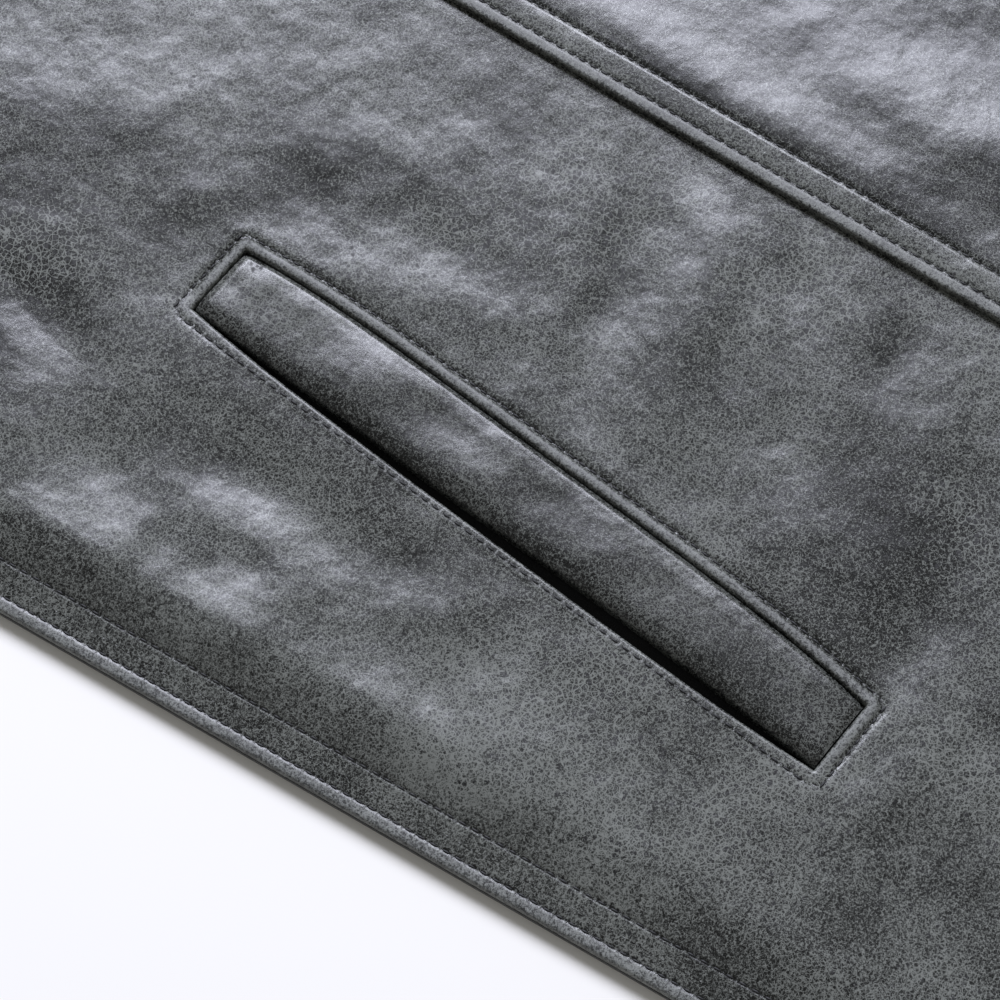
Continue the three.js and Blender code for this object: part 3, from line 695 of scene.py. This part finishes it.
def leather_material(name, tone=1.0):
    """Distressed leather: a dark wax-grey ground with clouds of tone, broken nets of fine pale cracks that
    are coarser in places with dark pits, painted shade along the stitch rows, painted highlights on the beads
    between stitches, paler leather where it is worn, and the tone mark's painted shade and painted sheen."""
    material, start, place = new_material(name)
    drift = noise(place, 0.9).beside(1)
    bent = start.node("VectorMath", {"operation": "MULTIPLY_ADD"}, {0: drift, 1: (0.0006,) * 3, 2: place})
    coarse, middling, fine = (
        start.node("TexVoronoi", {"feature": "DISTANCE_TO_EDGE"}, {"Vector": bent, "Scale": scale * MM})
        for scale in (0.75, 1.3, 2.4)
    )
    cell = start.node("TexVoronoi", {"feature": "F1"}, {"Vector": bent, "Scale": 0.75 * MM})
    cell_shade = start.node("SeparateColor", {}, {0: cell.beside(1)})
    clouds = noise(place, 0.035, 4.0, 0.65)
    patches = noise(place, 0.012, 1.0)
    dents = noise(place, 0.15, 2.0, 0.45)
    grain = noise(place, 1.5, 3.0, 0.75)
    speckle = noise(place, 4.6, 1.0, 0.7)
    pitted = (0.6 * clouds + 0.4 * patches + 0.8 * start.mark("pitted")).step(0.46, 0.68)
    broken = 0.25 + 0.75 * (0.6 * grain + 0.4 * clouds).step(0.40, 0.56)
    cracks = (1 - coarse.step(0.0, 0.12)) * broken * (0.3 + 0.9 * pitted)
    cracks = cracks.math("MAXIMUM", cracks, (1 - middling.step(0.0, 0.14)) * broken * (0.9 - 0.4 * pitted))
    hair = (1 - fine.step(0.0, 0.16)) * grain.step(0.42, 0.56)
    pits = (1 - cell.step(0.2, 0.56)) * cell_shade.step(0.92 - 0.40 * pitted, 1.1 - 0.25 * pitted)
    wear = start.mark("wear") * (0.15 + 1.25 * (0.6 * grain + 0.4 * speckle).step(0.40, 0.62))
    offset, run = start.mark("row_offset"), start.mark("row_run")
    row_away = offset.math("ABSOLUTE", offset)
    half_pitch = run.math("FRACT", run) - 0.5
    stitch_end = half_pitch.math("ABSOLUTE", half_pitch).step(0.36, 0.5)
    # Painted highlight: the beads between stitch ends are paler in colour as well as raised.
    beads = (1 - row_away.step(0.25, 0.8)) * stitch_end * grain.step(0.35, 0.6)
    light = -0.12 + 1.35 * cracks + 0.50 * hair + 0.9 * (grain - 0.5) + 1.8 * (speckle - 0.5)
    light = light + 0.45 * (clouds - 0.5) + 0.35 * (patches - 0.5) - 0.40 * pits + 0.30 * (0.5 - cell_shade)
    # Painted shade: darker along each stitch row, in its groove. The tone mark brings painted shade and
    # painted sheen.
    light = light + start.mark("tone") - 0.45 * (1 - row_away.step(0.15, 0.7))
    dark_leather = (0.0038 * tone, 0.0042 * tone, 0.0036 * tone, 1)
    pale_leather = (0.190 * tone, 0.200 * tone, 0.183 * tone, 1)
    ground = light.step(-0.30, 1.15).blend(dark_leather, pale_leather)
    # Paler colour: real wear on the lips and rims, and painted highlight on the beads.
    wear_and_bead_highlight = 0.55 * wear + 0.45 * beads
    colour = wear_and_bead_highlight.math("MINIMUM", wear_and_bead_highlight, 1.0).blend(ground, (0.235, 0.245, 0.235, 1))
    rough = 0.20 + 0.25 * pits + 0.14 * (1 - grain) + 0.40 * wear
    height = 0.034 * grain + 0.010 * speckle + 0.30 * dents + 0.06 * beads
    close_material(start, colour, rough, height, Specular_IOR_Level=0.42)
    return material


leather = leather_material("distressed_leather")
pocket_s, pocket_p = to_pocket(side_own, side_y)
for half, side in HALVES:
    top_z = side_height(half, side_own, side_y)
    under_z = np.minimum(bed_height(half, side_own, side_y), top_z - LEAST_WALL)
    top, bottom = (np.stack([side * side_own, side_y, z], -1) for z in (top_z, under_z))
    piece = wall_piece(
        f"side_front_{half}_leather",
        top,
        bottom,
        leather,
        keep_cells,
        side_marks(side_own, side_y, pocket_s, pocket_p),
    )
    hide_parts(f"side_front_{half}")
    rows = [stitch_row(side_line, inset, inset, lengths(side_line)[-1] - 3) for inset in EDGE_ROWS]
    hem_end = HALF_WIDTH - EDGE_ROWS[1]
    rows += [stitch_row(hem_line, inset, seam_own(HEM_Y) + 3, hem_end) for inset in EDGE_ROWS]
    rows.append(window_stitches())
    thread = thread_piece(
        f"side_front_{half}_stitching",
        np.concatenate(rows),
        partial(side_height, half),
        side,
        stitch_material,
    )

# Centre fronts: each half's inner panel, folded under along the front seam and lapped over the side front,
# with two rows of stitching along the fold. The left one also lies over the right one at the middle.

LAP_RAMP = 20
OVERLAP_GAP = 0.5
SEAM_ROWS = (3.2, 9.45)  # two rows of stitching, from the folded edge
SEAM_STEPS = np.array(  # columns of a grid, from the folded edge
    [0, 0.06, 0.2, 0.45, 0.8, 1.2, 1.7, 2.2, 2.6, 2.9, 3.2, 3.5, 3.9, 4.6]
    + [5.6, 6.6, 7.6, 8.3, 8.8, 9.2, 9.5, 9.8, 10.3, 11, 12, 13, 14.2]
)
NECK_TURN_Y = 60
CENTRE_ROWS_BELOW, CENTRE_ROWS_ABOVE, CENTRE_COLUMNS = 170, 130, 30

front_line = np.array([[-OVERLAP, HEM_Y], NECK_BREAK, NECK_POINT], float)


def centre_plan():
    """Own places of a centre front's grid: rows straight across up to the neck, then spread along the neck
    and the seam, with dense columns at the front edge and at the lapped fold."""
    below = np.linspace(HEM_Y, NECK_TURN_Y, CENTRE_ROWS_BELOW)[:-1]
    above = np.linspace(0, 1, CENTRE_ROWS_ABOVE)
    turn_run = NECK_TURN_Y - HEM_Y
    front_high = at_length(front_line, turn_run + above * (lengths(front_line)[-1] - turn_run))
    front = np.concatenate([np.stack([np.full(below.shape, -OVERLAP), below], -1), front_high])
    seam_y = np.concatenate([below, NECK_TURN_Y + above * (SEAM_BEND_END - NECK_TURN_Y)])
    seam = np.stack([seam_own(seam_y), seam_y], -1)
    width = np.linalg.norm(seam - front, axis=1)[:, None]
    edge = EDGE_STEPS[None] / width
    fold = 1 - SEAM_STEPS[None, ::-1] / width
    middle = between(edge[:, -1], fold[:, 0], CENTRE_COLUMNS)
    columns = np.concatenate([edge, middle, fold], 1)
    return front[:, None] + columns[..., None] * (seam - front)[:, None], seam


centre_grid, seam_ends = centre_plan()
lap_line = lap_point(seam_ends)


def centre_lift(half, own, y):
    """How far a centre front is raised: by the side front's allowance up to the lap line, easing off past
    it, and on the left by the right half's wall across the overlap."""
    to_lap = np.where(from_line(seam_line, own, y)[0] > LAP, from_line(lap_line, own, y)[0], 0)
    lift = (WALL + GAP) * (1 - smoothstep(to_lap, 0, LAP_RAMP))
    if half == "left":
        lift = np.maximum(lift, (WALL + OVERLAP_GAP) * (1 - smoothstep(own, OVERLAP, OVERLAP + 22)))
    return lift


def centre_relief(own, y):
    """The lips, grooves and pads of the lapped fold and the front edge, and what the shader reads there, with
    painted shade past the fold's second row.
    """
    to_seam, seam_run = from_line(seam_line, own, y)
    to_front, front_run = from_line(front_line, own, y)
    to_hem = y - HEM_Y
    outer = np.minimum(to_front, to_hem)
    relief = edge_relief(to_seam, SEAM_ROWS) + edge_relief(outer)
    wear = np.maximum(hump(to_seam, 1.5, 1.1), 0.7 * hump(outer, 1.4, 1.1))
    offsets = [to_seam - row for row in SEAM_ROWS] + [to_front - row for row in EDGE_ROWS]
    offsets += [to_hem - row for row in EDGE_ROWS]
    offset, run = nearest_row(offsets, [seam_run, seam_run, front_run, front_run, own, own])
    # Painted shade: darker past the second row, where the centre front falls away from the lap.
    tone = 0.05 - 0.46 * smoothstep(to_seam, SEAM_ROWS[1] - 0.2, SEAM_ROWS[1] + 0.6)
    return relief, {"wear": wear, "row_offset": offset, "row_run": run / STITCH_PITCH, "tone": tone}


def centre_height(half, own, y):
    """Top of a centre front: the leather, its lift and its edges."""
    return leather_height(half, own, y) + centre_lift(half, own, y) + centre_relief(own, y)[0]


centre_own, centre_y = centre_grid[..., 0], centre_grid[..., 1]
for half, side in HALVES:
    top_z = centre_height(half, centre_own, centre_y)
    bed = bed_height(half, centre_own, centre_y) + centre_lift(half, centre_own, centre_y)
    under_z = np.minimum(bed, top_z - LEAST_WALL)
    top, bottom = (np.stack([side * centre_own, centre_y, z], -1) for z in (top_z, under_z))
    marks = centre_relief(centre_own, centre_y)[1]
    piece = wall_piece(f"centre_front_{half}_leather", top, bottom, leather, None, marks)
    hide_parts(f"centre_front_{half}")
    seam_end = lengths(seam_line)[-1] - 3
    front_end = lengths(front_line)[-1] - 3
    rows = [stitch_row(seam_line, inset, EDGE_ROWS[0], seam_end) for inset in SEAM_ROWS]
    rows += [stitch_row(front_line, -inset, inset, front_end) for inset in EDGE_ROWS]
    hem_end = OVERLAP + seam_own(HEM_Y) - SEAM_ROWS[0]
    rows += [stitch_row(hem_line - [OVERLAP, 0], inset, EDGE_ROWS[1], hem_end) for inset in EDGE_ROWS]
    thread = thread_piece(
        f"centre_front_{half}_stitching",
        np.concatenate(rows),
        partial(centre_height, half),
        side,
        stitch_material,
    )

# Welts: a folded strip of the same leather behind each window, stitched in along its seat side and both
# ends. Its fold stands a little away from the window's other edge, where the hand goes in.

WELT_THICKNESS = 3
WELT_CROWN = 1.05
WELT_WALL = 1.3
ROLL_REACH, ROLL_DROP, TUCK_REACH = 4.2, 2.1, 1.2
FOLD_AT, FOLD_GAPE, GAPE_AT, GAPE_SPREAD = -9, 1.3, -38, 46
SEAT_DROP, SEAT_EASE, END_DROP, END_EASE = 1.3, 0.3, 0.7, 0.35
WELT_ROWS = 150

# Each row is one soft swelling of a welt: s, p, half-length across, half-length along, turn, rise.
SWELLS = {
    "right": [
        (45, 0, 7, 10, 0, 0.8), (12, -2, 6, 8, 0, 0.7), (-20, 0, 6, 8, 0, 0.6), (-52, -1, 7, 12, 0, 0.4),
        (28, 4, 5, 5, 0, -0.3), (-4, 4, 5, 5, 0, -0.3),
    ],
    "left": [(40, 1, 7, 12, 0, 0.6), (4, 2, 6, 12, 0, 0.5), (-34, 0, 6, 12, 0, 0.6)],
}


def welt_grids(half):
    """Outer and inner side of the folded strip, as sections along the welt. The top rises steeply at the
    seat, runs in a low crown and rolls over the fold in a quarter ellipse; the under layer comes back flat.
    The inner side is a wall's thickness inside it, and leaves a thin slit between the two layers."""
    end = WINDOW_HALF - GAP
    even = np.linspace(-1, 1, WELT_ROWS)
    s = end * (0.35 * np.sin(even * np.pi / 2) + 0.65 * even)
    seat = WINDOW_ACROSS + SEAT_BOW * bowed(s) - GAP
    fold = FOLD_AT + FOLD_GAPE * hump(s, GAPE_AT, GAPE_SPREAD)
    width = (seat - fold)[:, None]
    quarter = np.linspace(0, 1, 14)[None] * np.pi / 2
    plain = np.concatenate([[0, 0.1, 0.3, 0.6, 1.0, 1.5, 2.2], np.linspace(3.2, 12.5, 20)])
    plain = plain[None] + np.zeros((WELT_ROWS, 1))
    over = width - ROLL_REACH * (1 - np.sin(quarter))
    bridge = plain[:, -1:] + (over[:, :1] - plain[:, -1:]) * np.array([0.35, 0.7])
    back_under = width - TUCK_REACH * (1 - np.cos(quarter[:, 1:]))
    home = back_under[:, -1:] * np.linspace(1, 0, 9)[None, 1:]
    away = np.concatenate([plain, bridge, over, back_under, home], 1)
    top_count = plain.shape[1] + 2 + over.shape[1]
    own, y = np.moveaxis(from_pocket(s[:, None] + 0 * away, seat[:, None] - away), -1, 0)
    plateau = bed_height(half, own, y) + WALL + WELT_CROWN
    seat_drop = SEAT_DROP * (1 - smoothstep(away, -0.3, 1.3)) + SEAT_EASE * (1 - smoothstep(away, 0.5, 5))
    roll_share = np.clip((away - width + ROLL_REACH) / ROLL_REACH, 0, 1)
    fold_drop = ROLL_DROP * (1 - np.sqrt(1 - roll_share**2))
    to_end = (end - np.abs(s))[:, None]
    end_drop = END_DROP * (1 - smoothstep(to_end, -0.2, 1.6)) + END_EASE * (1 - smoothstep(to_end, 0, 9))
    swell = bump_rise(SWELLS[half], s[:, None] + 0 * away, seat[:, None] - away)
    top = plateau - seat_drop - fold_drop - end_drop + swell * (1 - roll_share)
    tuck = np.clip((width - away) / TUCK_REACH, 0, 1)
    under = plateau - ROLL_DROP - (WELT_THICKNESS - ROLL_DROP) * np.sqrt(1 - (1 - tuck) ** 2)
    on_top = np.arange(away.shape[1])[None] < top_count
    outer_z = np.where(on_top, top, np.minimum(under, top[:, :1] - 2.2))
    slit = plateau - 0.55 * WELT_THICKNESS - end_drop
    inner_z = np.where(on_top, np.maximum(top - WELT_WALL, slit + 0.1), np.minimum(outer_z + WELT_WALL, slit))
    inner_z = np.where(on_top, np.minimum(inner_z, top - 0.3), np.maximum(inner_z, outer_z + 0.1))
    inner_away = np.minimum(away, width - WELT_WALL)
    inner_plan = from_pocket(s[:, None] + 0 * away, seat[:, None] - inner_away)
    outer = np.stack([own, y, outer_z], -1)
    return outer, np.concatenate([inner_plan, inner_z[..., None]], -1)


welt_leather = leather_material("welt_leather", 0.8)
for half, side in HALVES:
    outer, inner = (grid * [side, 1, 1] for grid in welt_grids(half))
    welt_s, welt_p = to_pocket(outer[..., 0] * side, outer[..., 1])
    # Painted shade: the welt is darker towards both ends, where it drops into the window, and towards its
    # fold, where it rolls over.
    welt_painted_shade = -0.10 * smoothstep(np.abs(welt_s), 50, 84) - 0.16 * smoothstep(-welt_p, 1, 8)
    welt_marks = {"tone": welt_painted_shade, "row_offset": 9 + 0 * welt_s}
    welt = wall_piece(f"welt_{half}_leather", outer, inner, welt_leather, None, welt_marks)
    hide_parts(f"welt_{half}")

# Pocket bags: two layers of dark cotton sewn together behind each welt, one flat rounded pocket that shows
# only as the black inside of the mouth.

BAG_MOUTH, BAG_DEPTH, BAG_REACH, BAG_CORNER = 15, 128, 94, 18
BAG_THICKNESS = 1.0
BAG_LIFT = 0.02
BAG_INSIDE = 60  # millimetres from the border to the middle of its rings
BAG_RINGS = np.array([0, 0.2, 0.6, 1.2, 3, 4.2, 5, 5.8, 7, 12, 24, 45])
BAG_SEAM = 5  # from the border
BAG_TURNS = 96
BAG_COLOUR = (0.006, 0.0063, 0.007, 1)


def bag_border(count):
    """A rounded rectangle: at each turn of the compass, the corner's quarter circle about its own middle."""
    turn = np.linspace(0, 2 * np.pi, count, endpoint=False)
    half_p, half_s = (BAG_DEPTH + BAG_MOUTH) / 2 - BAG_CORNER, BAG_REACH - BAG_CORNER
    p = (BAG_DEPTH - BAG_MOUTH) / 2 + half_p * np.sign(np.cos(turn)) + BAG_CORNER * np.cos(turn)
    return half_s * np.sign(np.sin(turn)) + BAG_CORNER * np.sin(turn), p


def bag_material():
    """Plain-woven black cotton: two crossed sets of fine yarns, dull, with a little lint."""
    material, start, place = new_material("pocket_cotton")
    yarns = {"Vector": place, "Scale": 0.6 * MM, "Distortion": 0.6}
    warp, weft = (start.node("TexWave", {"bands_direction": way}, yarns) for way in "XY")
    lint = noise(place, 0.25, 5.0)
    weave = 0.5 * warp + 0.5 * weft
    colour = (weave * 0.5 + lint * 0.5).blend(BAG_COLOUR, (0.02, 0.021, 0.022, 1))
    close_material(start, colour, 0.85 + 0.1 * lint, 0.08 * weave)
    return material


cotton = bag_material()
bag_s, bag_p = bag_border(BAG_TURNS)
bag_middle = (BAG_DEPTH - BAG_MOUTH) / 2
left_over = 1 - BAG_RINGS[:, None] / BAG_INSIDE
bag_plan = from_pocket(bag_s * left_over, bag_middle + (bag_p - bag_middle) * left_over)
bag_own, bag_y = np.moveaxis(bag_plan, -1, 0)
bag_pole = from_pocket(np.zeros(1), np.array([bag_middle]))
seam_dip = 1 - 0.35 * hump(BAG_RINGS, BAG_SEAM, 0.9)
bag_z = REST + BAG_THICKNESS * seam_dip - 0.5 * rounded_drop(BAG_RINGS, 0.6)
for half, side in HALVES:
    upper = np.stack([side * bag_own, bag_y, bag_z[:, None] + 0 * bag_own], -1)
    lower = upper[::-1] * [1, 1, 0] + [0, 0, REST + BAG_LIFT]
    poles = [[side * own, y, z] for own, y in bag_pole for z in (REST + BAG_LIFT, REST + BAG_THICKNESS)]
    points = np.concatenate([lower.reshape(-1, 3), upper.reshape(-1, 3), poles])
    faces = [face[::-side] for kind in closed_rings(2 * len(BAG_RINGS), BAG_TURNS) for face in kind.tolist()]
    bag = finish_piece(f"pocket_bag_{half}_cloth", points, faces, cotton)
    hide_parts(f"pocket_bag_{half}")

# Snaps: four pressed metal caps down the middle, each closed through both centre fronts.

SNAP_RADIUS = 7
SNAP_RINGS, SNAP_TURNS = 40, 56
CAP_SHARE = 0.8  # of the rings, on the cap's face
DOME_RADIUS, DOME_RISE, CAP_HEIGHT, FOOT_DROP = 5.4, 0.55, 2.15, 2.1


def snap_profile(share):
    """A cap from its middle to its edge: a shallow dome with a fine ring pressed in, a rolled rim, and a
    half circle down to its foot."""
    radius = SNAP_RADIUS * np.sin(np.clip(share / CAP_SHARE, 0, 1) * np.pi / 2)
    dome = CAP_HEIGHT + DOME_RISE * (1 - (radius / DOME_RADIUS) ** 2) * (radius < DOME_RADIUS)
    ring = 0.12 * hump(radius, 6.2, 0.35) - 0.16 * hump(radius, 5.5, 0.28)
    edge = np.clip((share - CAP_SHARE) / (1 - CAP_SHARE), 0, 1)
    foot = FOOT_DROP * (1 - np.cos(edge * np.pi)) / 2
    tuck = 0.5 * (1 - np.sin(edge * np.pi)) * (edge > 0)
    radius = radius - tuck - 0.35 * rounded_drop(SNAP_RADIUS - radius, 1)
    return radius, dome + ring - foot - 0.35 * rounded_drop(SNAP_RADIUS - radius, 1.1)


def snap_material():
    """Aged nickel: satin metal, duller and darker in cloudy spots, with fine scratches."""
    material, start, place = new_material("aged_nickel")
    tarnish = noise(place, 0.5, 6.0, 0.65)
    scratch = noise(place, 6.0, Distortion=2.0)
    colour = tarnish.step(0.35, 0.65).blend((0.17, 0.168, 0.16, 1), (0.36, 0.36, 0.35, 1))
    rough = 0.3 + 0.25 * (1 - tarnish) + 0.1 * scratch
    close_material(start, colour, rough, 0.008 * scratch + 0.02 * tarnish, Metallic=1.0)
    return material


nickel = snap_material()
share = np.linspace(0, 1, SNAP_RINGS + 1)[1:, None]
turn = np.linspace(0, 2 * np.pi, SNAP_TURNS, endpoint=False)[None]
snap_radius, snap_height = snap_profile(share)
snap_height = snap_height / snap_profile(np.zeros(1))[1][0]
snap_faces = [face[::-1] for kind in closed_rings(SNAP_RINGS, SNAP_TURNS) for face in kind.tolist()]
for number in range(1, 5):
    low, high = (np.array(corner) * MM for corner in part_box(f"snap_{number}"))
    height = snap_height * (high[2] - low[2])
    rings = np.stack([snap_radius * np.cos(turn), snap_radius * np.sin(turn), height + 0 * turn], -1)
    poles = [[0, 0, high[2] - low[2]], [0, 0, height[-1, 0]]]
    middle = (low + high) / 2 * [1, 1, 0] + [0, 0, low[2]]
    points = np.concatenate([rings.reshape(-1, 3), poles]) + middle
    snap = finish_piece(f"snap_{number}_cap", points, snap_faces, nickel)
    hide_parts(f"snap_{number}")

# Floor: a plain pale surface that the vest lies on.

floor_mesh = bpy.data.meshes.new("floor")
floor_mesh.from_pydata([(-3, -3, 0), (3, -3, 0), (3, 3, 0), (-3, 3, 0)], [], [(0, 1, 2, 3)])
floor = bpy.data.objects.new("floor", floor_mesh)
floor_material, start, floor_place = new_material("pale_floor")
floor_tone = noise(floor_place, 3 / MM)
floor_colour = floor_tone.blend((0.96, 0.95, 0.90, 1), (0.97, 0.96, 0.92, 1))
close_material(start, floor_colour, 0.8 + 0.05 * floor_tone, 0.02 * floor_tone, Specular_IOR_Level=0.1)
floor_mesh.materials.append(floor_material)
bpy.context.collection.objects.link(floor)

# Light: a pale room, and a large soft box beyond the vest's upper right that skims its folds.

world = bpy.data.worlds.new("room")
world.use_nodes = True
world.node_tree.nodes["Background"].inputs["Color"].default_value = (1.0, 0.985, 0.965, 1)
world.node_tree.nodes["Background"].inputs["Strength"].default_value = 0.24
bpy.context.scene.world = world
bpy.context.scene.view_settings.view_transform = "Standard"

KEY_DIRECTION, KEY_ELEVATION, KEY_DISTANCE = (0.86, 0.51), radians(41), 3.4
KEY_TARGET = Vector((-0.187, -0.151, 0.008))
key_light = bpy.data.lights.new("key_box", "AREA")
key_light.shape = "RECTANGLE"
key_light.size, key_light.size_y = 2.0, 1.4
key_light.energy = 165
key_light.color = (0.90, 0.92, 1.06)
plan_way = np.array(KEY_DIRECTION) / np.hypot(*KEY_DIRECTION)
key_way = Vector((*(plan_way * np.cos(KEY_ELEVATION)), np.sin(KEY_ELEVATION)))
key_box = bpy.data.objects.new("key_box", key_light)
key_box.location = KEY_TARGET + KEY_DISTANCE * key_way
key_box.rotation_euler = key_way.to_track_quat("Z", "Y").to_euler()
bpy.context.collection.objects.link(key_box)

# Camera: close above the pocket on the wearer's right front, looking down across the side seam.

CAMERA_TARGET = Vector((-0.1892, -0.1468, 0.008))
CAMERA_AZIMUTH, CAMERA_ELEVATION = radians(-59.07), radians(67)
CAMERA_DISTANCE = 0.812
camera_data = bpy.data.cameras.new("camera")
camera_data.lens, camera_data.sensor_width = 135, 36
camera_data.clip_start = 0.01
camera = bpy.data.objects.new("camera", camera_data)
turned = Euler((radians(90) - CAMERA_ELEVATION, 0, CAMERA_AZIMUTH)).to_matrix()
camera_way = turned @ Vector((0, 0, CAMERA_DISTANCE))
camera.matrix_world = Matrix.Translation(CAMERA_TARGET + camera_way) @ turned.to_4x4()
bpy.context.collection.objects.link(camera)
bpy.context.scene.camera = camera
